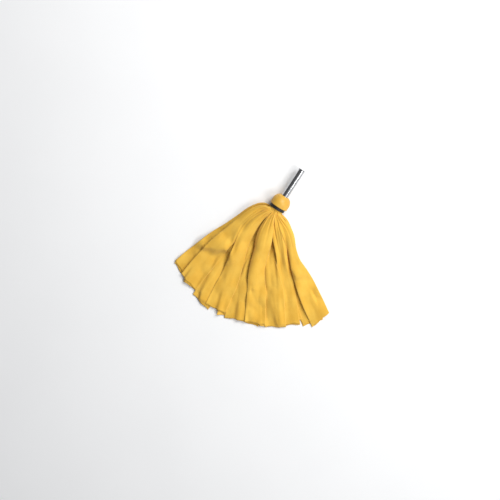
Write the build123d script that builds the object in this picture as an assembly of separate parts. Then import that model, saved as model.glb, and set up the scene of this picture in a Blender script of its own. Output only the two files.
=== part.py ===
from build123d import *

import math
import os

# Strip mop head with the bottom section of its steel handle, lying on a floor.
#
# The head is turned about one axis, the handle's, which runs along +Y. It is modelled with
# that axis on the Y axis and the mouth, where the cloth comes out, in the plane y = 0. The
# cloth strips are modelled on the floor in front of it, along -Y, fanned out in three
# layers. The last step moves everything so that the origin is on the floor, in the middle
# of the whole object's box. Sizes are in millimetres, angles in degrees.

# ---- Handle tube, a chromed steel tube that takes the next handle section in its free end
tube_od = 22.0
tube_wall = 0.9
tube_showing = 95.0  # from the cap to the free end
tube_seat_depth = 8.0  # how far the tube's end sits inside the cap

# ---- Cap, a moulded dome with the screw socket for the handle
cap_radius = 29.0
cap_height = 36.5
cap_side_height = 12.0  # upright side below the dome
cap_wall = 2.6
cap_rim_round = 1.2
cap_crown_radius = 9.0  # centre of the dome's elliptical section, out from the axis
cap_boss_radius = 14.0
cap_lip = 1.0  # flat edge round the handle's seat
cap_web = 4.0  # floor of the screw socket
cap_ribs = 6
cap_rib_thickness = 2.0
seat_clearance = 0.2  # radial, round the tube's end

# ---- Broom handle thread, trapezoid section
thread_major = 19.05
thread_pitch = 5.08
thread_depth = 1.5
thread_root_width = 2.6
thread_crest_width = 1.3
thread_clearance = 0.15
thread_turns = 3.0
thread_sink = 0.4  # how far the ridge's foot goes into its core

# ---- Threaded tip, pressed into the tube and pinned
tip_plug_length = 25.0
tube_crimp = 0.3  # how much the tube's bore is drawn in where it grips the plug
tip_flange = 2.0
tip_pin_radius = 1.25
tip_pin_height = 4.0  # above the tube's lower end

# ---- Seal washer between the tip's flange and the bottom of the seat
washer_thickness = 1.5
washer_clearance = 0.3
washer_face = 1.3  # least width of the face it seals on

# ---- Clamp ring, the dark band round the cloth's neck
ring_height = 10.0
ring_radius = 24.5
ring_throat = 21.8
ring_edge = 0.6  # bevel of its lower outer edge

# ---- Clamp core, which the folded cloths are pressed over, and its screw
core_top_radius = 9.0
core_mouth_radius = 7.0
core_recess_radius = 4.6
core_recess_depth = 4.0
screw_radius = 1.9
screw_head_radius = 3.7
screw_head_height = 2.4
screw_bite = 2.5  # into the cap's web
screw_hole_clearance = 0.4
core_washer_thickness = 0.8
core_washer_radius = 4.3

# ---- Cloths: three sheets, one over the other, folded over the core and slit into strips
cloth_count = 3
cloth_fold = 1.0  # thickness of each sheet's folded middle
cloth_stand_out = 1.0  # how far the outer sheet's gathered neck reaches out of the mouth
cloth_dome = 1.0  # how much further each sheet inside it reaches

# ---- Strips, fanned out in layers from the mouth to a common reach
strip_reach = 375.0  # from the middle of the mouth to the cut ends
strip_pitch = 10.4  # angle that one strip takes up at its end
strip_side_gap = 1.2
strip_thickness = 1.8  # of the lying part, with its creases
strip_drape = 190.0  # run over which a strip comes down to lie flat
strip_root_taper = 120.0  # run over which the gathered root thins out
fan_swing = -31.0  # way a strip leaves its root when its end lies straight along -Y
fan_opening = 1.29  # how much wider the fan is at the roots than at the ends
fan_lean = 0.0041  # how much more it opens with each degree towards the last side
fan_pull = 120.0  # distance that an edge keeps heading the way it left its root
root_centre = 1.5  # the fan's centre, behind the mouth
root_nose = 1.0  # room behind a root's rounded end
layer_gap = 0.7  # between the lying parts of two layers

# name, height of the roots above the head's axis, thickness of the roots, radius of the arc
# they stand on, how much more of the fan a root takes up than its end does, and where the
# middles of the ends lie. Layers run from the floor up. Angles are from -Y towards +X.
layers = [
    ("lower", -14.0, 9.0, 19.0, 1.0, [-22.8 + strip_pitch * k for k in range(8)]),
    ("middle", -4.5, 8.0, 20.0, 1.0, [-23.6 + 1.03 * strip_pitch * k for k in range(8)]),
    ("upper", 5.0, 7.0, 18.0, 1.0, [-6.0, 11.5, 32.0, 32.0 + strip_pitch]),
    ("top", 13.5, 7.0, 17.0, 1.3, [-16.5, 1.5, 22.0, 54.0]),
]

# ---- Heights along the handle's axis, from the mouth
cap_rim = ring_height
cap_top = cap_rim + cap_height
seat_floor = cap_top - tube_seat_depth - tip_flange - washer_thickness
tube_end = cap_top - tube_seat_depth
thread_length = thread_turns * thread_pitch
core_top = 13.0
boss_foot = core_top + cloth_count * cloth_fold
socket_floor = boss_foot + cap_web
washer_hole = thread_major / 2 + washer_clearance / 2
flange_radius = max(tube_od / 2, washer_hole + washer_face)
seat_radius = flange_radius + seat_clearance
bore_radius = tube_od / 2 - tube_wall
plug_radius = bore_radius - tube_crimp
stem_core = thread_major / 2 - thread_depth
socket_core = stem_core + thread_clearance


def turned(outline):
    """Solid of revolution about Y from an outline drawn with x as the radius."""
    return revolve(make_face(outline), Axis.Y)


def stepped(*corners):
    """Solid of revolution about Y from straight runs between (radius, height) corners."""
    return turned(Polyline(*corners, close=True))


def ring_of(inner, outer, foot, top):
    return stepped((inner, foot), (outer, foot), (outer, top), (inner, top))


def disc_of(radius, foot, top):
    return stepped((0, foot), (radius, foot), (radius, top), (0, top))


def screw_ridge(core, grow, foot, length):
    """Right-handed trapezoid ridge about Y, from foot upwards, grown all round by grow."""
    path = Helix(pitch=thread_pitch, height=length, radius=core)
    start = Plane(origin=path @ 0, x_dir=(1, 0, 0), z_dir=path % 0)
    root = thread_root_width / 2 + grow
    crest = thread_crest_width / 2 + grow
    section = Polyline(
        (-thread_sink, -root), (thread_depth, -crest), (thread_depth, crest),
        (-thread_sink, root), close=True,
    )
    ridge = sweep(start * make_face(section), path=path, is_frenet=True)
    return Pos(0, foot, 0) * Rot(-90, 0, 0) * ridge


def dome_curve(inset, inner_radius):
    """Elliptical arc of the cap's crown, set in by inset, from its side to inner_radius."""
    wide = cap_radius - cap_crown_radius - inset
    high = cap_height - cap_side_height - inset
    stop = math.degrees(math.acos((inner_radius - cap_crown_radius) / wide))
    centre = (cap_crown_radius, cap_rim + cap_side_height)
    return EllipticalCenterArc(centre, wide, high, start_angle=0, arc_size=stop)


def make_cap():
    crown = dome_curve(0, seat_radius + cap_lip)
    side = cap_radius
    outside = [
        Line((0, cap_rim), (side - cap_rim_round, cap_rim)),
        RadiusArc((side - cap_rim_round, cap_rim), (side, cap_rim + cap_rim_round), -cap_rim_round),
        Line((side, cap_rim + cap_rim_round), crown @ 0),
        crown,
        Line(crown @ 1, (0, (crown @ 1).Y)),
        Line((0, (crown @ 1).Y), (0, cap_rim)),
    ]
    body = turned(outside)
    vault = dome_curve(cap_wall, cap_boss_radius)
    inner = cap_radius - cap_wall
    hollow = turned([
        Line((cap_boss_radius, cap_rim), (inner, cap_rim)),
        Line((inner, cap_rim), vault @ 0),
        vault,
        Line(vault @ 1, (cap_boss_radius, cap_rim)),
    ])
    below_boss = disc_of(cap_boss_radius, cap_rim, boss_foot)
    ribs = Part()
    rib_reach = inner + cap_wall / 2
    rib_box = Box(rib_reach, cap_height, cap_rib_thickness, align=(Align.MIN, Align.MIN, Align.CENTER))
    for k in range(cap_ribs):
        ribs += Rot(0, k * 360 / cap_ribs, 0) * Pos(0, boss_foot, 0) * rib_box
    ribs = (ribs & hollow) - disc_of(cap_boss_radius - cap_wall / 2, cap_rim, cap_top)
    cap = body - hollow - below_boss + ribs
    cap -= disc_of(seat_radius, seat_floor, cap_top + 1)
    cap -= disc_of(socket_core, socket_floor, seat_floor)
    cap -= disc_of(screw_radius, boss_foot, socket_floor)
    socket_depth = seat_floor - socket_floor
    groove = screw_ridge(socket_core, thread_clearance, socket_floor, socket_depth + thread_pitch)
    return cap - (groove & disc_of(thread_major, socket_floor, seat_floor))


def make_tube():
    outer = tube_od / 2
    return stepped(
        (plug_radius, tube_end), (outer, tube_end), (outer, cap_top + tube_showing),
        (bore_radius, cap_top + tube_showing), (bore_radius, tube_end + tip_plug_length),
        (plug_radius, tube_end + tip_plug_length),
    ) - pin_hole()


def pin_hole():
    height = tube_end + tip_pin_height
    return Pos(0, height, 0) * Cylinder(tip_pin_radius, 2 * tube_od)


def make_tip():
    plug = disc_of(plug_radius, tube_end, tube_end + tip_plug_length)
    flange = disc_of(flange_radius, tube_end - tip_flange, tube_end)
    stem = disc_of(stem_core, tube_end - thread_length - tip_flange, tube_end - tip_flange)
    ridge_length = thread_length - 1.5 * thread_pitch
    ridge = screw_ridge(stem_core, 0, socket_floor + thread_pitch, ridge_length)
    return plug + flange + stem + ridge - pin_hole()


def make_tip_pin():
    inside_tube = disc_of(tube_od / 2, tube_end, tube_end + 2 * tip_pin_height)
    return pin_hole() & inside_tube


def make_seal_washer():
    return ring_of(washer_hole, flange_radius, seat_floor, seat_floor + washer_thickness)


def make_clamp_ring():
    flange = cap_radius - cap_wall
    return stepped(
        (ring_throat, 0), (ring_radius - ring_edge, 0), (ring_radius, ring_edge),
        (ring_radius, ring_height), (flange, ring_height), (flange, boss_foot),
        (ring_throat, boss_foot),
    )


def make_core():
    hole = screw_radius + screw_hole_clearance
    cone = stepped((0, 1), (core_mouth_radius, 1), (core_top_radius, core_top), (0, core_top))
    return cone - disc_of(core_recess_radius, 1, 1 + core_recess_depth) - disc_of(hole, 0, core_top)


def make_core_washer():
    top = 1 + core_recess_depth
    return ring_of(screw_radius + screw_hole_clearance / 2, core_washer_radius, top - core_washer_thickness, top)


def make_core_screw():
    head_top = 1 + core_recess_depth - core_washer_thickness
    head = disc_of(screw_head_radius, head_top - screw_head_height, head_top)
    slot = Box(2 * screw_head_radius, 1.0, 0.9, align=(Align.CENTER, Align.MIN, Align.CENTER))
    shank = disc_of(screw_radius, head_top, boss_foot + screw_bite)
    return head + shank - Pos(0, head_top - screw_head_height, 0) * slot


def make_cloth_neck(order):
    """Folded middle of one sheet: a disc over the core and the gathered tube round it.
    Order 0 is the sheet next to the core."""
    share = (ring_throat - core_top_radius) / cloth_count
    inner = core_top_radius + order * share
    foot = -cloth_stand_out - cloth_dome * (cloth_count - 1 - order)
    disc_foot = core_top + order * cloth_fold
    corners = [(inner, foot), (inner + share, foot), (inner + share, disc_foot + cloth_fold)]
    corners += [(screw_radius + screw_hole_clearance, disc_foot + cloth_fold)]
    corners += [(screw_radius + screw_hole_clearance, disc_foot), (inner, disc_foot)]
    return stepped(*corners)


def heading(angle):
    """Unit step on the floor at an angle from -Y towards +X."""
    return Vector(math.sin(math.radians(angle)), -math.cos(math.radians(angle)))


def root_angle(end_angle):
    return fan_swing + fan_opening * end_angle + fan_lean * end_angle**2


def strip_edge(level, end_angle, side):
    """One side of a strip on the floor: its start, the point that bows it and its end."""
    thickness, root_radius, root_spread = layers[level][2:5]
    way = heading(root_angle(end_angle + side * root_spread * strip_pitch / 2))
    centre = Vector(0, root_centre)
    start = centre + way * (root_radius - thickness / 2 - root_nose)
    end = heading(end_angle + side * strip_pitch / 2) * strip_reach
    inset = Vector(way.Y, -way.X) * (side * strip_side_gap / 2)
    return [start + inset, centre + way * fan_pull + inset, end + inset]


def drape_height(level, run):
    """Height of a layer's middle above the floor at a run from its roots."""
    root_height = cap_radius + layers[level][1]
    lying = strip_thickness / 2 + level * (strip_thickness + layer_gap)
    share = min(run / strip_drape, 1)
    return root_height + (lying - root_height) * share * share * (3 - 2 * share)


def drape_line(level, side):
    """Upper (side 1) or under (side -1) line of a layer, as points by distance and height."""
    points = []
    for n in range(7):
        run = strip_drape * n / 6
        left = max(1 - run / strip_root_taper, 0)
        thickness = strip_thickness + (layers[level][2] - strip_thickness) * left * left
        height = drape_height(level, run) + side * thickness / 2
        points.append((layers[level][3] + run, height))
    return points


def make_layer(level):
    """Everything between a layer's two lines, all round the fan's centre."""
    thickness, root_radius = layers[level][2:4]
    top, foot = drape_line(level, 1), drape_line(level, -1)
    lying_end = 1.05 * strip_reach  # past the cut ends, which each strip's outline makes
    side = make_face([
        ThreePointArc(foot[0], (root_radius - thickness / 2, drape_height(level, 0)), top[0]),
        Spline(*top, tangents=[(1, 0), (1, 0)]),
        Line(top[-1], (lying_end, top[-1][1])),
        Line((lying_end, top[-1][1]), (lying_end, foot[-1][1])),
        Line((lying_end, foot[-1][1]), foot[-1]),
        Spline(*foot, tangents=[(1, 0), (1, 0)]),
    ])
    return Pos(0, root_centre, 0) * revolve(Plane.XZ * side, Axis.Z)


def make_strip(level, end_angle, whole_layer):
    """One strip: its outline on the floor, cut from its layer."""
    first = strip_edge(level, end_angle, -1)
    last = strip_edge(level, end_angle, 1)
    outline = make_face([
        Bezier(*first), Line(first[2], last[2]), Bezier(*reversed(last)), Line(last[0], first[0]),
    ])
    return whole_layer & extrude(outline, amount=2 * cap_radius)


def place_on_floor(shape):
    return Pos(0, 0, cap_radius) * shape


nodes = {
    "socket_cap": place_on_floor(make_cap()),
    "handle_tube": place_on_floor(make_tube()),
    "threaded_tip": place_on_floor(make_tip()),
    "tip_pin": place_on_floor(make_tip_pin()),
    "seal_washer": place_on_floor(make_seal_washer()),
    "clamp_ring": place_on_floor(make_clamp_ring()),
    "clamp_core": place_on_floor(make_core()),
    "core_washer": place_on_floor(make_core_washer()),
    "core_screw": place_on_floor(make_core_screw()),
}
for order, name in enumerate(["inner", "second", "outer"]):
    nodes[f"{name}_cloth_neck"] = place_on_floor(make_cloth_neck(order))
for level, layer in enumerate(layers):
    whole_layer = make_layer(level)
    for k, end_angle in enumerate(layer[5]):
        nodes[f"{layer[0]}_strip_{k + 1}"] = make_strip(level, end_angle, whole_layer)

whole = Compound([solid for shape in nodes.values() for solid in shape.solids()]).bounding_box()
to_origin = Pos(-whole.center().X, -whole.center().Y, 0)

os.makedirs("parts", exist_ok=True)
for name, shape in nodes.items():
    export_step(to_origin * shape, f"parts/{name}.step")
print("box", whole.size, "moved by", to_origin.position)
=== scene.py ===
import math

import bpy
import numpy as np
from mathutils import Matrix, Vector


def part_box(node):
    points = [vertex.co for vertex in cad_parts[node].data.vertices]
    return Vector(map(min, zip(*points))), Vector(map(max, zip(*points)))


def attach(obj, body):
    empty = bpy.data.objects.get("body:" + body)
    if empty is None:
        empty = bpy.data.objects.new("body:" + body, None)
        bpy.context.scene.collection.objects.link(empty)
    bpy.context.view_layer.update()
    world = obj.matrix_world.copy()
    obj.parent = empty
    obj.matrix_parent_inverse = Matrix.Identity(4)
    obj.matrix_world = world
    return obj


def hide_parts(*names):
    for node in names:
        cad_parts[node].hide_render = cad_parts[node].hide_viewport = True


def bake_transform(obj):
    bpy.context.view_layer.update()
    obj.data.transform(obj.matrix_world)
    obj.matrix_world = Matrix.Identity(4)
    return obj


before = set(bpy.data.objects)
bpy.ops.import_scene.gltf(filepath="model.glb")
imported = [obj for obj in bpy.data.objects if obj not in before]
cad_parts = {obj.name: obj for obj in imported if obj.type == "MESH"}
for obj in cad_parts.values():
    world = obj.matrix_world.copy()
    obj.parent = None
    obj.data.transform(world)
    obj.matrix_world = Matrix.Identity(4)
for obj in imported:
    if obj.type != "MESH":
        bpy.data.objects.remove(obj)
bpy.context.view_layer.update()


# ---- Domed cap: a yellow polypropylene moulding with a satin gloss. It screws onto the
# handle's thread and holds the clamp ring. Its skin has a faint mould grain, a slow change
# of shade from the melt, and fine scuffs from being handled.
cap_yellow = (0.76, 0.43, 0.055, 1)
cap_yellow_deep = (0.66, 0.35, 0.038, 1)


def add(tree, kind, sockets=(), **settings):
    """Put a node in a tree. Each socket gets a value, or is wired to another node's output."""
    node = tree.nodes.new("ShaderNode" + kind)
    for name, value in settings.items():
        setattr(node, name, value)
    for name, value in dict(sockets).items():
        if isinstance(value, bpy.types.NodeSocket):
            tree.links.new(value, node.inputs[name])
        else:
            node.inputs[name].default_value = value
    return node


def new_effect(name, inputs, output):
    """Start a shader node group with number inputs, a place on the surface and one output."""
    group = bpy.data.node_groups.new(name, "ShaderNodeTree")
    group.interface.new_socket("Place", in_out="INPUT", socket_type="NodeSocketVector")
    for title, value in inputs.items():
        socket = group.interface.new_socket(title, in_out="INPUT", socket_type="NodeSocketFloat")
        socket.default_value = value
    group.interface.new_socket(output, in_out="OUTPUT", socket_type="NodeSocketFloat")
    return group, group.nodes.new("NodeGroupInput"), group.nodes.new("NodeGroupOutput")


# Slow change of a value over the surface, between Low and High.
mottle, given, result = new_effect("mottle", {"Scale": 20, "Low": 0, "High": 1}, "Value")
cloud = add(mottle, "TexNoise", {"Vector": given.outputs["Place"], "Scale": given.outputs["Scale"],
                                 "Detail": 4})
spread = add(mottle, "MapRange", {"Value": cloud.outputs["Fac"], "From Min": 0.33, "From Max": 0.67,
                                  "To Min": given.outputs["Low"], "To Max": given.outputs["High"]},
             interpolation_type="SMOOTHSTEP")
mottle.links.new(spread.outputs["Result"], result.inputs["Value"])

# Height of a moulded skin: fine grain from the tool with a slower waviness.
skin, given, result = new_effect("moulded skin", {"Scale": 900, "Waviness": 0.5}, "Height")
fine = add(skin, "TexNoise", {"Vector": given.outputs["Place"], "Scale": given.outputs["Scale"],
                              "Detail": 3, "Roughness": 0.6})
slow_scale = add(skin, "Math", {0: given.outputs["Scale"], 1: 0.09}, operation="MULTIPLY")
slow = add(skin, "TexNoise", {"Vector": given.outputs["Place"], "Scale": slow_scale.outputs[0]})
wave = add(skin, "Math", {0: slow.outputs["Fac"], 1: given.outputs["Waviness"]},
           operation="MULTIPLY")
both = add(skin, "Math", {0: fine.outputs["Fac"], 1: wave.outputs[0]}, operation="ADD")
skin.links.new(both.outputs[0], result.inputs["Height"])

# Thin scuffs: the narrow band where a stretched noise passes through its middle value.
scuffs, given, result = new_effect("scuffs", {"Scale": 60, "Width": 0.012}, "Mask")
patch = add(scuffs, "TexNoise", {"Vector": given.outputs["Place"], "Scale": given.outputs["Scale"],
                                 "Detail": 2, "Distortion": 1.4})
off = add(scuffs, "Math", {0: patch.outputs["Fac"], 1: 0.5}, operation="SUBTRACT")
size = add(scuffs, "Math", {0: off.outputs[0]}, operation="ABSOLUTE")
band = add(scuffs, "MapRange", {"Value": size.outputs[0], "From Min": 0,
                                "From Max": given.outputs["Width"], "To Min": 1, "To Max": 0})
scuffs.links.new(band.outputs["Result"], result.inputs["Mask"])


def use_effect(tree, group, place, **values):
    """Place an effect in a material with its own values, and give its output."""
    node = add(tree, "Group", {}, node_tree=group)
    tree.links.new(place, node.inputs["Place"])
    for title, value in values.items():
        node.inputs[title].default_value = value
    return node.outputs[0]


def start_material(name):
    """A new material, its node tree and its Principled shader."""
    material = bpy.data.materials.new(name)
    material.use_nodes = True
    tree = material.node_tree
    return material, tree, tree.nodes["Principled BSDF"]


def own_place(tree):
    """The object's own coordinates."""
    return add(tree, "TexCoord").outputs["Object"]


def mix_colours(tree, share, colour, other):
    """Colour where share is 0, other where it is 1."""
    node = add(tree, "Mix", {}, data_type="RGBA")
    tree.links.new(share, node.inputs[0])
    for socket, value in ((node.inputs[6], colour), (node.inputs[7], other)):
        if isinstance(value, bpy.types.NodeSocket):
            tree.links.new(value, socket)
        else:
            socket.default_value = value
    return node.outputs[2]


def moulded_plastic(name, colour, deep, rough, grain_scale, grain_depth, scuff_tone):
    """Moulded plastic with a mottled shade, a grained skin and scuffs that are a little duller."""
    material, tree, shader = start_material(name)
    place = own_place(tree)
    shade = mix_colours(tree, use_effect(tree, mottle, place, Scale=34), colour, deep)
    marks = use_effect(tree, scuffs, place, Scale=70, Width=0.010)
    faint = add(tree, "Math", {0: marks, 1: 0.35}, operation="MULTIPLY").outputs[0]
    tree.links.new(mix_colours(tree, faint, shade, scuff_tone), shader.inputs["Base Color"])
    gloss = use_effect(tree, mottle, place, Scale=90, Low=rough[0], High=rough[1])
    dull = add(tree, "Math", {0: marks, 1: 0.18}, operation="MULTIPLY").outputs[0]
    total = add(tree, "Math", {0: gloss, 1: dull}, operation="ADD").outputs[0]
    tree.links.new(total, shader.inputs["Roughness"])
    grain = use_effect(tree, skin, place, Scale=grain_scale, Waviness=0.6)
    bump = add(tree, "Bump", {"Height": grain, "Strength": 0.5, "Distance": grain_depth})
    tree.links.new(bump.outputs["Normal"], shader.inputs["Normal"])
    shader.inputs["IOR"].default_value = 1.49
    return material


def finish_node(name, material):
    """Give a CAD node, whose shape stays, its finish."""
    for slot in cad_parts[name].material_slots:
        slot.material = material


cap_plastic = moulded_plastic(
    "cap_plastic", cap_yellow, cap_yellow_deep, (0.40, 0.52), 1400, 0.00006, (0.88, 0.62, 0.20, 1)
)
finish_node("socket_cap", cap_plastic)


# ---- Clamp ring: a black moulded ring, snapped under the cap, that holds the gathered cloth
# in its throat. Its skin is textured and matt, with paler scuffs.
ring_plastic = moulded_plastic(
    "ring_plastic", (0.020, 0.017, 0.013, 1), (0.012, 0.011, 0.010, 1), (0.46, 0.60), 1100, 0.00012,
    (0.09, 0.085, 0.075, 1),
)
finish_node("clamp_ring", ring_plastic)


# ---- Handle: a chromed steel tube, drawn and polished lengthways, with a moulded threaded
# tip pressed into its lower end and held by a steel cross pin.
streaks, given, result = new_effect("drawn streaks", {"Across": 900, "Along": 14}, "Value")
stretch = add(streaks, "CombineXYZ", {"X": given.outputs["Across"], "Y": given.outputs["Along"],
                                      "Z": given.outputs["Across"]})
pulled = add(streaks, "VectorMath", {0: given.outputs["Place"], 1: stretch.outputs[0]},
             operation="MULTIPLY")
lines = add(streaks, "TexNoise", {"Vector": pulled.outputs[0], "Scale": 1, "Detail": 3})
streaks.links.new(lines.outputs["Fac"], result.inputs["Value"])


def drawn_steel(name, colour, deep, rough, across, along):
    """Metal with lengthways streaks, a cloudy tone and fine scratches."""
    material, tree, shader = start_material(name)
    place = own_place(tree)
    shade = mix_colours(tree, use_effect(tree, mottle, place, Scale=45), colour, deep)
    tree.links.new(shade, shader.inputs["Base Color"])
    shader.inputs["Metallic"].default_value = 1.0
    lines = use_effect(tree, streaks, place, Across=across, Along=along)
    worn = use_effect(tree, scuffs, place, Scale=120, Width=0.006)
    gloss = add(tree, "MapRange", {"Value": lines, "From Min": 0.3, "From Max": 0.7,
                                   "To Min": rough[0], "To Max": rough[1]}).outputs["Result"]
    dull = add(tree, "Math", {0: worn, 1: 0.15}, operation="MULTIPLY").outputs[0]
    total = add(tree, "Math", {0: gloss, 1: dull}, operation="ADD").outputs[0]
    tree.links.new(total, shader.inputs["Roughness"])
    bump = add(tree, "Bump", {"Height": lines, "Strength": 0.25, "Distance": 0.00003})
    tree.links.new(bump.outputs["Normal"], shader.inputs["Normal"])
    return material


finish_node("handle_tube", drawn_steel("tube_chrome", (0.66, 0.66, 0.67, 1), (0.56, 0.565, 0.57, 1),
                                       (0.10, 0.20), 900, 14))
finish_node("tip_pin", drawn_steel("pin_steel", (0.60, 0.60, 0.58, 1), (0.48, 0.48, 0.47, 1),
                                   (0.28, 0.42), 1200, 200))
finish_node("threaded_tip", moulded_plastic(
    "tip_plastic", (0.075, 0.075, 0.08, 1), (0.05, 0.05, 0.055, 1), (0.40, 0.52), 1200, 0.00008,
    (0.16, 0.16, 0.16, 1),
))


# ---- Seal washer: a black rubber ring between the tip's flange and the cap's seat.
finish_node("seal_washer", moulded_plastic(
    "washer_rubber", (0.040, 0.039, 0.038, 1), (0.025, 0.025, 0.025, 1), (0.68, 0.80), 2200, 0.00006,
    (0.12, 0.12, 0.11, 1),
))


# ---- Clamp core with its washer and screw: a moulded cone that the folded sheets are pressed
# over, drawn up against the cap's boss by a zinc-plated screw. All hidden in the neck.
finish_node("clamp_core", moulded_plastic(
    "core_plastic", (0.055, 0.054, 0.052, 1), (0.038, 0.037, 0.036, 1), (0.44, 0.58), 1200, 0.0001,
    (0.12, 0.12, 0.11, 1),
))
screw_steel = drawn_steel("screw_steel", (0.66, 0.65, 0.56, 1), (0.52, 0.50, 0.40, 1),
                          (0.30, 0.44), 1500, 900)
finish_node("core_screw", screw_steel)
finish_node("core_washer", screw_steel)


# ---- Cloth: yellow needle-felt in viscose and polyester, 0.9 mm thick. Its face is napped,
# with a fine embossed net from the bonding roll, a slow change of dye and paler cut edges.
cloth_thickness = 0.0009
cloth_yellow = (0.83, 0.495, 0.070, 1)
cloth_yellow_deep = (0.76, 0.418, 0.045, 1)
cloth_yellow_edge = (0.88, 0.57, 0.145, 1)
strip_width = 0.070
cut_edge_width = 0.0012  # paler along each cut

cloth, tree, shader = start_material("cloth")
weave = add(tree, "UVMap", uv_map="cut").outputs["UV"]
shade = mix_colours(tree, use_effect(tree, mottle, weave, Scale=16), cloth_yellow, cloth_yellow_deep)
fibres = add(tree, "TexNoise", {"Vector": weave, "Scale": 1500, "Detail": 5, "Roughness": 0.65})
fleck = add(tree, "MapRange", {"Value": fibres.outputs["Fac"], "From Min": 0.42, "From Max": 0.75,
                               "To Min": 0, "To Max": 0.30}).outputs["Result"]
shade = mix_colours(tree, fleck, shade, cloth_yellow_edge)
across = add(tree, "SeparateXYZ", {"Vector": weave}).outputs["X"]
from_middle = add(tree, "Math", {0: across, 1: strip_width / 2}, operation="SUBTRACT").outputs[0]
from_middle = add(tree, "Math", {0: from_middle}, operation="ABSOLUTE").outputs[0]
cut_edge = add(tree, "MapRange", {"Value": from_middle, "From Min": strip_width / 2 - cut_edge_width,
                                  "From Max": strip_width / 2, "To Min": 0,
                                  "To Max": 0.6}).outputs["Result"]
tree.links.new(mix_colours(tree, cut_edge, shade, cloth_yellow_edge), shader.inputs["Base Color"])
net = add(tree, "TexVoronoi", {"Vector": weave, "Scale": 520}, feature="SMOOTH_F1")
net_height = add(tree, "Math", {0: net.outputs["Distance"], 1: 0.8}, operation="MULTIPLY").outputs[0]
nap = add(tree, "Math", {0: fibres.outputs["Fac"], 1: net_height}, operation="ADD").outputs[0]
bump = add(tree, "Bump", {"Height": nap, "Strength": 0.55, "Distance": 0.00035})
tree.links.new(bump.outputs["Normal"], shader.inputs["Normal"])
tree.links.new(use_effect(tree, mottle, weave, Scale=200, Low=0.82, High=0.95),
               shader.inputs["Roughness"])
shader.inputs["Sheen Weight"].default_value = 0.18
shader.inputs["Sheen Roughness"].default_value = 0.5
shader.inputs["Specular IOR Level"].default_value = 0.2


# ---- Folded middles of the three cloth sheets: each is pressed over the core and gathered in
# pleats round it, one sheet inside the next, and stands a little out of the ring's mouth.
ring_low, ring_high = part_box("clamp_ring")
mouth = Vector(((ring_low.x + ring_high.x) / 2, ring_low.y, (ring_low.z + ring_high.z) / 2))
throat_radius = 0.0208
pleat_depth = 0.0015
pleat_columns = 10
neck_rows = 26
turn_in_at = 0.62  # share of the neck's run where it turns in over the core
disc_hole = 0.0032
mouth_flare = 0.0012
mouth_fall = 0.0006
neck_sheets = [  # name, mean radius, pleats, height of its disc over the core, stand-out
    ("inner", 0.0112, 13, 0.0135, 0.0040),
    ("second", 0.0153, 19, 0.0145, 0.0045),
    ("outer", 0.0193, 25, 0.0155, 0.0050),
]


def cloth_mesh(name, grid, cut):
    """Object from a grid of points in metres, with the place on the flat cut as its UVs."""
    rows, columns = grid.shape[:2]
    index = np.arange(rows * columns).reshape(rows, columns)
    quads = np.stack([index[:-1, :-1], index[:-1, 1:], index[1:, 1:], index[1:, :-1]], axis=-1)
    mesh = bpy.data.meshes.new(name)
    mesh.from_pydata(grid.reshape(-1, 3).tolist(), [], quads.reshape(-1, 4).tolist())
    layer = mesh.uv_layers.new(name="cut")
    flat = cut.reshape(-1, 2)
    corners = np.zeros(len(mesh.loops), dtype=np.int32)
    mesh.loops.foreach_get("vertex_index", corners)
    layer.data.foreach_set("uv", flat[corners].astype(np.float32).ravel())
    mesh.polygons.foreach_set("use_smooth", [True] * len(mesh.polygons))
    mesh.materials.append(cloth)
    piece = bpy.data.objects.new(name, mesh)
    bpy.context.scene.collection.objects.link(piece)
    thicken = piece.modifiers.new("cloth thickness", "SOLIDIFY")
    thicken.thickness = cloth_thickness
    thicken.offset = 0
    return piece


def measured_cut(grid):
    """Distances over the cloth, across and along, from its first row and column."""
    across = np.cumsum(np.linalg.norm(np.diff(grid, axis=1), axis=2), axis=1)
    along = np.cumsum(np.linalg.norm(np.diff(grid, axis=0), axis=2), axis=0)
    across = np.pad(across, ((0, 0), (1, 0)))
    along = np.pad(along, ((1, 0), (0, 0)))
    return np.stack([across, along], axis=-1)


for name, radius, pleats, disc_height, stand_out in neck_sheets:
    turn = np.linspace(0, 2 * math.pi, pleats * pleat_columns + 1)[None, :]
    run = np.linspace(0, 1, neck_rows)[:, None]
    corner = np.clip((run - turn_in_at) / (1 - turn_in_at), 0, 1)
    height = -stand_out + (disc_height + stand_out) * np.clip(run / 0.7, 0, 1)
    height = np.minimum(height, disc_height)
    mean = radius + (disc_hole - radius) * corner**1.1
    mean = mean + mouth_flare * np.clip(1 - run / 0.2, 0, 1) ** 2
    depth = pleat_depth * (mean / radius) * np.where(corner > 0, 0.25 + 0.75 * (1 - corner), 1)
    lean = 0.25 * np.sin(3 * turn + 9 * radius * 1000)
    out = mean + depth * np.sin(pleats * turn + lean)
    fall = mouth_fall * np.sin(5 * turn + 40 * run)
    grid = np.stack([
        mouth.x + out * np.cos(turn),
        mouth.y + height + fall * np.clip(1 - run * 3, 0, 1),
        mouth.z + out * np.sin(turn),
    ], axis=-1)
    cut = measured_cut(grid)
    piece = cloth_mesh(f"{name}_neck", grid, cut)
    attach(piece, "head")
    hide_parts(f"{name}_cloth_neck")


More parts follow.
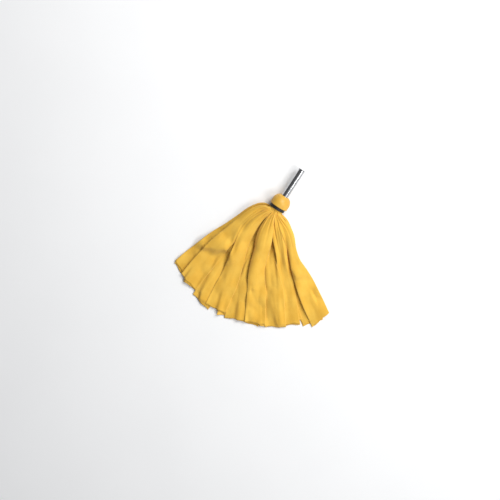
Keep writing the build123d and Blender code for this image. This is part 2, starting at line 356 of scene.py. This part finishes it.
# ---- Strips: the three sheets are slit into strips 70 mm wide that come out of the mouth in
# gathers, drop to the floor and spread flat. Sizes here are in millimetres from the middle of
# the mouth: a run outwards, and an angle from straight ahead, positive to the right.
random = np.random.default_rng(11)
strip_columns = 29
row_step = 4.0
root_run = 14.0
strip_reach = 375.0
strip_length = 0.370  # metres, on the flat cut
end_uneven = (-7, 5)
most_slant = 6
most_sway = 5.0
gather_runs = [14, 50, 90, 140]  # three gathers to a strip, dying out down the fan
gather_depths = [2.5, 3.0, 1.7, 0.3]
fold_runs = [30, 90, 160, 260, 375]  # one broad fold to a strip
fold_depths = [0, 4.0, 4.5, 3.0, 1.6]
top_gather_share = ([30, 70], [0.9, 0.4])
top_fold_share = 0.3
wave_heights = (1.0, 2.2)
wave_lengths = (15, 24)
crease_fields = 4
crease_spacings = (55, 120)
crease_strengths = (2.6, 6.4)
curl_heights = (-1.5, 3.5)
outer_strips = 8  # in each of the two lowest layers
sides_until = (230, 120)  # run where they leave the fan's sides, and over how far
settles_from = (60, 120)  # run from which cloth lies settled, and over how far
grips_from = (30, 40)  # run from which it rests on what lies under it
throat_until = (26, 12)  # run up to which the ring holds it
waves_until = (400, 160)
least_wave = 0.25
side_fall = 0.30  # how much lower the heap is at its sides
pleat_unevenness = 0.14
cut_ripple = 1.2
arch_foot = 0.35
under_buckle_share = 0.7  # how far a buckle shows in the layers under the top one
curls_from = (0.9, 0.1)  # share of the run
tuck_narrowing = 0.006
strip_gap = 0.55  # from one strip's middle to the top of what lies under it
floor_gap = 0.5
settle_softness = 1.2
throat_gap = 0.6
tuck_rows = 4  # rows that run back into the throat
tuck_step = 3.0
fan_left = [(14, -74), (24, -84), (36, -85), (60, -69), (80, -60), (113, -47.5), (161, -40),
            (271, -33), (375, -28.6)]
fan_right = [(14, 64), (24, 74), (36, 76), (67, 69.5), (98, 63), (120, 56), (178, 54), (286, 57.8),
             (375, 60.6)]
fan_ends = (-28.6, 60.6)
drape = {  # height of each layer's middle above the floor, against the run
    "lower": [(0, 15), (30, 12), (60, 8), (90, 4), (130, 1.5), (180, 0.6), (400, 0.6)],
    "middle": [(0, 25), (30, 21), (60, 15), (90, 9), (130, 4), (180, 1.5), (400, 1)],
    "upper": [(0, 36), (30, 32), (60, 25), (90, 17), (130, 9), (180, 4.5), (240, 3), (400, 2)],
    "top": [(0, 46.5), (24, 46), (40, 44), (80, 38), (120, 31), (160, 24), (200, 17), (260, 10),
            (330, 5.5), (400, 3.5)],
}
plan_width = {  # width that a strip takes up on the floor, against the run
    "lower": [(14, 10), (40, 13), (70, 20), (110, 32), (160, 46), (220, 58), (300, 66), (400, 68)],
    "middle": [(14, 10), (40, 13), (70, 21), (110, 33), (160, 47), (220, 58), (300, 66), (400, 68)],
    "upper": [(14, 10), (40, 16), (70, 26), (110, 38), (160, 50), (220, 60), (300, 66), (400, 68)],
    "top": [(14, 12), (40, 21), (70, 32), (110, 42), (160, 50), (220, 60), (300, 66), (400, 68)],
}
own_width = {
    "top_strip_3": [(14, 14), (40, 28), (73, 44), (105, 52), (150, 47), (200, 48), (275, 60),
                    (400, 68)],
    "top_strip_2": [(14, 12), (40, 22), (70, 34), (110, 44), (160, 42), (220, 52), (300, 66),
                    (400, 68)],
    "top_strip_4": [(14, 12), (40, 22), (67, 32), (98, 34), (130, 26), (165, 30), (224, 52),
                    (290, 64), (400, 69)],
    "upper_strip_4": [(14, 14), (40, 30), (75, 42), (118, 38), (150, 33), (200, 42), (300, 58),
                      (400, 60)],
}
own_path = {  # middle of a strip that strays from its place in the fan: run, angle
    "top_strip_2": [(14, -40), (50, -33), (85, -25), (114, -19), (150, -12), (208, -4.5),
                    (273, -0.5), (375, 1.5)],
    "top_strip_3": [(14, -2), (40, 3), (73, 7.5), (130, 13), (194, 14.2), (275, 19.5), (375, 22.2)],
    "upper_strip_1": [(14, -48), (60, -40), (110, -29), (170, -17), (240, -9.5), (375, -6)],
    "upper_strip_3": [(14, 6), (100, 14), (150, 20), (200, 26.5), (260, 30.5), (375, 32)],
    "upper_strip_4": [(14, 28), (75, 36.5), (118, 38.5), (150, 38.5), (230, 39.5), (375, 39)],
    "top_strip_4": [(14, 46), (67, 58), (104, 55.5), (135, 52.5), (178, 51.5), (224, 52.5),
                    (375, 54)],
}
layers = {
    "lower": [-22.8 + 10.4 * k for k in range(outer_strips)],
    "middle": [-23.6 + 10.7 * k for k in range(outer_strips)],
    "upper": [-6.0, 11.5, 32.0, 42.4],
    "top": [-16.5, 1.5, 22.0, 54.0],
}
laying_order = {
    "lower": [2, 5, 8, 1, 4, 7, 3, 6],
    "middle": [8, 3, 6, 1, 4, 7, 2, 5],
    "upper": [4, 1, 2, 3],
    "top": [4, 1, 2, 3],
}
own_reach = {"upper_strip_1": 9, "top_strip_4": 7, "top_strip_1": -3, "middle_strip_7": -13,
             "lower_strip_7": -7, "top_strip_2": 3, "lower_strip_1": -12, "middle_strip_1": -11,
             "upper_strip_4": -4, "top_strip_3": 2, "upper_strip_3": 2}
own_slant = {"top_strip_4": -13, "top_strip_3": 2, "lower_strip_1": 5, "middle_strip_1": 6}
own_drape = {
    "upper_strip_4": [(0, 44), (40, 41), (80, 34), (120, 26), (160, 17), (200, 11), (260, 6),
                      (330, 4), (400, 3)],
}
arch = {  # how far a strip's middle stands above its edges, against the run
    "top_strip_1": [(0, 1), (40, 4), (90, 8), (150, 8), (220, 5), (280, 2), (400, 0.5)],
    "top_strip_2": [(0, 1), (40, 4), (90, 9), (160, 10), (230, 6), (290, 3), (400, 1)],
    "top_strip_3": [(0, 1), (40, 4), (90, 9), (150, 12), (200, 9), (270, 4), (400, 1)],
    "top_strip_4": [(0, 1), (40, 5), (80, 8), (140, 7), (200, 4), (400, 1)],
    "upper_strip_4": [(0, 1), (40, 5), (80, 10), (140, 8), (200, 4), (400, 1)],
    "upper_strip_3": [(0, 0), (160, 1), (230, 6), (300, 3), (400, 1)],
}
# Buckles where the lying cloth stands up across its length: two points of the ridge, its
# height, how gently it rises on the mouth's side and how steeply it drops on the other.
buckles = [
    ((-48, -188), (-150, -234), 19.0, 52.0, 13.0),
    ((-68, -112), (-30, -226), 10.0, 15.0, 9.0),
    ((-30, -232), (-62, -243), 6.0, 18.0, 5.0),
    ((118, -118), (172, -150), 5.0, 20.0, 6.0),
    ((40, -262), (84, -250), 4.0, 26.0, 6.0),
    ((-100, -286), (-40, -300), 4.0, 24.0, 7.0),
]

cell = 2.0
map_low = np.array([-220.0, -410.0])
heap = np.zeros((290, 230))  # top of the cloth laid so far, in cells over the floor


def along_knots(knots, run, softness=12.0):
    """Value at a run from (run, value) knots, with its corners rounded."""
    runs, values = zip(*knots)
    offsets = np.linspace(-softness, softness, 7)
    return np.mean([np.interp(run + shift, runs, values) for shift in offsets], axis=0)


def shifted(field, i, j):
    """The field moved by whole cells."""
    return np.roll(np.roll(field, i, axis=0), j, axis=1)


def spread_out(field, times):
    """Widen the high places by a cell each time."""
    for _ in range(times):
        field = np.maximum.reduce([field] + [shifted(field, i, j)
                                             for i, j in ((1, 0), (-1, 0), (0, 1), (0, -1))])
    return field


def smoothed(field, times):
    for _ in range(times):
        field = (4 * field + shifted(field, 1, 0) + shifted(field, -1, 0)
                 + shifted(field, 0, 1) + shifted(field, 0, -1)) / 8
    return field


def look_up(field, x, y):
    """Value of a field over the floor at given places, between its cells."""
    i = np.clip((x - map_low[0]) / cell, 0, field.shape[0] - 1.01)
    j = np.clip((y - map_low[1]) / cell, 0, field.shape[1] - 1.01)
    i0, j0 = i.astype(int), j.astype(int)
    fi, fj = i - i0, j - j0
    low = field[i0, j0] * (1 - fi) + field[i0 + 1, j0] * fi
    high = field[i0, j0 + 1] * (1 - fi) + field[i0 + 1, j0 + 1] * fi
    return low * (1 - fj) + high * fj


def eased(grid, times):
    """Smooth a strip's heights over its own rows and columns."""
    for _ in range(times):
        padded = np.pad(grid, 1, mode="edge")
        grid = (4 * grid + padded[:-2, 1:-1] + padded[2:, 1:-1]
                + padded[1:-1, :-2] + padded[1:-1, 2:]) / 8
    return grid


def buckle_height(x, y, ridge):
    """Extra height that one buckle gives the cloth at places on the floor."""
    start, end, height, rise, drop = ridge
    start, end = np.array(start, float), np.array(end, float)
    way = (end - start) / np.linalg.norm(end - start)
    aside = np.array([-way[1], way[0]])
    if aside @ (start + end) < 0:  # its positive side is the one away from the mouth
        aside = -aside
    px, py = x - start[0], y - start[1]
    far = px * aside[0] + py * aside[1] + 3.0 * np.sin(x / 13 + y / 17) + 2.0 * np.sin(x / 6)
    share = (px * way[0] + py * way[1]) / np.linalg.norm(end - start)
    inside = np.clip(1.25 - np.abs(2 * share - 1), 0, 0.6) / 0.6
    inside = inside * inside * (3 - 2 * inside)
    profile = np.where(far < 0, np.exp(-(far / rise) ** 2), np.exp(-(far / drop) ** 2))
    return height * profile * inside


def strip_plan(layer, number, run, shares, u):
    """Where a strip's rows and columns lie on the floor, its half width and place in the fan."""
    name = f"{layer}_strip_{number}"
    slant = own_slant.get(name, random.uniform(-most_slant, most_slant))
    place = (layers[layer][number - 1] - fan_ends[0]) / (fan_ends[1] - fan_ends[0])
    left, right = along_knots(fan_left, run), along_knots(fan_right, run)
    middle = left + place * (right - left)
    if layer in ("lower", "middle"):  # near the mouth its outer strips keep to the fan's sides
        full = np.degrees(along_knots(plan_width[layer], run) / 2 / run)
        share = (number - 1) / (outer_strips - 1)
        spread = left + full + share * np.maximum(right - left - 2 * full, 0)
        near = np.clip((sides_until[0] - run) / sides_until[1], 0, 1)
        middle = middle + (spread - middle) * near * near * (3 - 2 * near)
    if name in own_path:
        middle = along_knots(own_path[name], run)
    half = along_knots(own_width.get(name, plan_width[layer]), run) / 2
    sway = (random.uniform(-1, 1) * most_sway
            * np.sin(shares * math.pi * random.uniform(1.5, 2.5)) * shares)
    if name not in own_path:  # keep a strip inside the sides of the fan
        turn_room = np.degrees(half / run)
        low, high = left + turn_room, right - turn_room
        middle = np.where(low < high, np.clip(middle + np.degrees(sway / run), low, high),
                          (left + right) / 2)
    middle = np.convolve(np.pad(middle, 3, mode="edge"), np.ones(7) / 7, mode="valid")

    angle = np.radians(middle)
    centre = np.stack([run * np.sin(angle), run * -np.cos(angle)], axis=-1)
    way = np.gradient(centre, axis=0)
    way = way / np.linalg.norm(way, axis=1, keepdims=True)
    side = np.stack([-way[:, 1], way[:, 0]], axis=1)
    ragged = slant * u + cut_ripple * np.sin(5 * u + random.uniform(0, 6))
    last = (shares[:, None] ** 6) * ragged
    x = centre[:, 0:1] + side[:, 0:1] * u * half[:, None] + way[:, 0:1] * last
    y = centre[:, 1:2] + side[:, 1:2] * u * half[:, None] + way[:, 1:2] * last
    return x, y, half, place


def creased(z, x, y, settle):
    """Flat facets with sharp creases between them, as cloth lies after use."""
    for _ in range(crease_fields):
        way_on = random.uniform(-1.1, 1.1)
        length = random.uniform(*crease_spacings)
        start_at = random.uniform(0, 2 * math.pi)
        wander = 0.5 * np.sin(x / 37 + start_at) + 0.5 * np.sin(y / 43 + 2 * start_at)
        crease = np.abs(np.sin((math.sin(way_on) * x + math.cos(way_on) * y) * math.pi / length
                               + start_at + wander))
        strength = (random.uniform(*crease_strengths)
                    * (0.6 + 0.4 * np.sin(x / 50 + y / 71 + start_at)))
        z = z + strength * (crease - 0.5) * settle
    return z


def free_height(layer, name, run, shares, u, plan):
    """Height that a strip would take by itself, from its drape, gathers, waves and creases."""
    x, y, half, place = plan
    run2 = run[:, None]
    heap_fall = 1 - side_fall * (2 * place - 1) ** 2 * np.clip((run2 - 10) / 40, 0, 1)
    base = along_knots(own_drape.get(name, drape[layer]), run)[:, None] * heap_fall
    phase = random.uniform(0, 2 * math.pi)
    drift = random.uniform(-1.5, 1.5)
    uneven = u + pleat_unevenness * np.sin(2.3 * np.pi * u + 3 * phase)  # no two pleats of one width
    gathers = 3 * np.pi * uneven + phase + drift * shares[:, None]
    gather_depth = np.interp(run, gather_runs, gather_depths)[:, None]
    fold = 1.1 * np.pi * u + 2 * phase + 1.6 * drift * shares[:, None]
    fold_depth = np.interp(run, fold_runs, fold_depths)[:, None]
    if layer == "top":
        gather_depth = gather_depth * np.interp(run, *top_gather_share)[:, None]
        fold_depth = fold_depth * top_fold_share
    pleats = (gather_depth * (np.sin(gathers) + 0.25 * np.sin(2.3 * gathers + 1.7 * phase))
              + fold_depth * np.sin(fold))
    tilt = random.uniform(-0.13, 0.13) + 0.12 * np.sin(shares * 5 + phase)[:, None]
    settle = np.clip((run2 - settles_from[0]) / settles_from[1], 0, 1)
    waves = (random.uniform(*wave_heights)
             * np.sin(run2 / random.uniform(*wave_lengths) + 2 * u + phase)
             * settle * np.clip((waves_until[0] - run2) / waves_until[1], least_wave, 1))
    z = base + pleats + tilt * u * half[:, None] * settle + waves
    z = creased(z, x, y, settle)
    if name in arch:
        z = z + along_knots(arch[name], run)[:, None] * (np.cos(np.pi / 2 * u) ** 0.8 - arch_foot)
    if layer != "lower":
        for ridge in buckles:
            z = z + buckle_height(x, y, ridge) * (1 if layer == "top" else under_buckle_share)
    return z


def rest_on_heap(x, y, z, run2):
    """Lift a strip onto the cloth laid before it, gripping it less near the mouth."""
    grip = np.clip((run2 - grips_from[0]) / grips_from[1], 0, 1)
    grip = grip * grip * (3 - 2 * grip)
    bridge = smoothed(spread_out(heap, 1), 3)
    rest = look_up(bridge, x, y) + strip_gap
    bare = look_up(spread_out(heap, 1), x, y) + strip_gap
    z = np.maximum(z, floor_gap)
    lifted = settle_softness * np.logaddexp(z / settle_softness, rest / settle_softness)
    z = z + (lifted - z) * grip
    z = eased(z, 1)
    z = np.maximum(z, floor_gap + (np.maximum(bare, floor_gap) - floor_gap) * grip)
    return eased(z, 1)


def kept_in_throat(x, z, run2):
    """Hold a strip's gathers inside the ring near the mouth, and all of it off the floor."""
    inside = np.clip((throat_until[0] - run2) / throat_until[1], 0, 1)
    rim = throat_radius * 1000
    off_axis = np.clip(np.abs(x), 0, rim - 1)
    top_limit = mouth.z * 1000 + np.sqrt(rim**2 - off_axis**2) - throat_gap
    foot_limit = mouth.z * 1000 - np.sqrt(rim**2 - off_axis**2) + throat_gap
    z = z + (np.clip(z, foot_limit, top_limit) - z) * inside
    return np.maximum(z, floor_gap)


def add_to_heap(x, y, z):
    """Raise the heap's map to the top of a strip that has been laid."""
    for a in np.linspace(0, 1, 4):
        for b in np.linspace(0, 1, 4):
            px, py, pz = (
                (1 - a) * ((1 - b) * f[:-1, :-1] + b * f[:-1, 1:])
                + a * ((1 - b) * f[1:, :-1] + b * f[1:, 1:]) for f in (x, y, z))
            i = np.clip(((px - map_low[0]) / cell + 0.5).astype(int), 0, heap.shape[0] - 1)
            j = np.clip(((py - map_low[1]) / cell + 0.5).astype(int), 0, heap.shape[1] - 1)
            np.maximum.at(heap, (i, j), pz + cloth_thickness * 1000 / 2)


def tucked_in(x, y, z):
    """Run a strip's root back into the throat and round the bend out of it."""
    back = np.arange(tuck_rows, 0, -1)[:, None] * tuck_step
    x = np.vstack([np.repeat(x[:1], tuck_rows, axis=0) * (1 - tuck_narrowing * back), x])
    y = np.vstack([y[:1] + back, y])
    z = np.vstack([np.repeat(z[:1], tuck_rows, axis=0), z])
    for _ in range(2):
        for f in (x, y, z):
            f[1:tuck_rows + 4] = (f[:tuck_rows + 3] + 2 * f[1:tuck_rows + 4]
                                  + f[2:tuck_rows + 5]) / 4
    return x, y, z


def lay_strip(layer, number):
    """Shape one strip, lay it on what is there already and hand it to the frame."""
    name = f"{layer}_strip_{number}"
    u = np.linspace(-1, 1, strip_columns)[None, :]
    reach = strip_reach + own_reach.get(name, 0) + random.uniform(*end_uneven)
    run = np.linspace(root_run, reach, int((reach - root_run) / row_step) + 1)
    run2 = run[:, None]
    shares = (run - root_run) / (reach - root_run)
    plan = strip_plan(layer, number, run, shares, u)
    x, y = plan[:2]
    z = rest_on_heap(x, y, free_height(layer, name, run, shares, u, plan), run2)
    end_share = np.clip((shares[:, None] - curls_from[0]) / curls_from[1], 0, 1)
    curl = random.uniform(*curl_heights) * end_share**2
    z = z + np.abs(curl) * (0.4 + 0.6 * np.abs(u))
    z = kept_in_throat(x, z, run2)
    add_to_heap(x, y, z)
    x, y, z = tucked_in(x, y, z)

    grid = np.stack([mouth.x + x / 1000, mouth.y + y / 1000, z / 1000], axis=-1)
    width_place = np.repeat((u + 1) / 2 * strip_width, len(grid), axis=0)
    length_place = np.repeat(np.linspace(0, strip_length, len(grid))[:, None], strip_columns, axis=1)
    piece = cloth_mesh(f"{name}_cloth", grid, np.stack([width_place, length_place], axis=-1))
    if layer == "top":
        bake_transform(piece)
    else:
        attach(piece, "head")
    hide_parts(name)


for layer in ("lower", "middle", "upper", "top"):
    for number in laying_order[layer]:
        lay_strip(layer, number)


# ---- Floor, light and camera: a plain pale floor under a soft lamp on the handle's right
# with a wide fill, seen from nearly straight above.
bpy.ops.mesh.primitive_plane_add(size=8, location=(mouth.x, mouth.y - 0.15, 0))
floor_plane = bpy.context.object
floor_plane.name = "studio_floor"
floor_paint, tree, shader = start_material("studio_floor")
place = own_place(tree)
tree.links.new(mix_colours(tree, use_effect(tree, mottle, place, Scale=3), (0.97, 0.97, 0.97, 1),
                           (0.955, 0.955, 0.955, 1)), shader.inputs["Base Color"])
shader.inputs["Roughness"].default_value = 0.9
floor_plane.data.materials.append(floor_paint)

view_right = Vector((0.8415, 0.540, 0))
view_up = Vector((-0.540, 0.8415, 0))
looked_at = Vector((mouth.x + 0.0006, mouth.y - 0.1567, 0.012))


def area_lamp(name, direction, distance, size, power):
    """A square lamp in watts, at a distance from the mop and turned to face it."""
    light = bpy.data.lights.new(name, "AREA")
    light.size = size
    light.energy = power
    lamp = bpy.data.objects.new(name, light)
    bpy.context.scene.collection.objects.link(lamp)
    direction = Vector(direction).normalized()
    lamp.location = looked_at + direction * distance
    lamp.rotation_mode = "QUATERNION"
    lamp.rotation_quaternion = direction.to_track_quat("Z", "Y")


key_height = math.radians(48)
key_way = (view_right + view_up).normalized() * math.cos(key_height)
area_lamp("key_lamp", key_way + Vector((0, 0, math.sin(key_height))), 3.2, 1.7, 83)
area_lamp("top_fill", (0.75, 0.15, 1), 3.8, 1.3, 42)

world = bpy.data.worlds.new("studio")  # pale all round, with its dark side on the left
bpy.context.scene.world = world
world.use_nodes = True
tree = world.node_tree
room = add(tree, "TexCoord").outputs["Generated"]
aside = add(tree, "SeparateXYZ", {"Vector": room}).outputs["X"]
lit = add(tree, "MapRange", {"Value": aside, "From Min": -0.25, "From Max": 0.45},
          interpolation_type="SMOOTHSTEP").outputs["Result"]
sky = mix_colours(tree, lit, (0.22, 0.225, 0.235, 1), (0.95, 0.97, 1.0, 1))
tree.links.new(sky, tree.nodes["Background"].inputs["Color"])
tree.nodes["Background"].inputs["Strength"].default_value = 0.53
bpy.context.scene.view_settings.view_transform = "Standard"

lean = math.radians(11)
camera_distance = 3.66
eye_way = Vector((0, math.sin(lean), math.cos(lean)))
camera_data = bpy.data.cameras.new("camera")
camera_data.lens = 85
camera_data.sensor_width = 36
camera_data.clip_end = 50
camera = bpy.data.objects.new("camera", camera_data)
bpy.context.scene.collection.objects.link(camera)
camera.location = looked_at + eye_way * camera_distance
back = eye_way
up = (view_up - back * view_up.dot(back)).normalized()
right = up.cross(back)
camera.rotation_mode = "QUATERNION"
camera.rotation_quaternion = Matrix((right, up, back)).transposed().to_quaternion()
bpy.context.scene.camera = camera

bpy.context.view_layer.update()
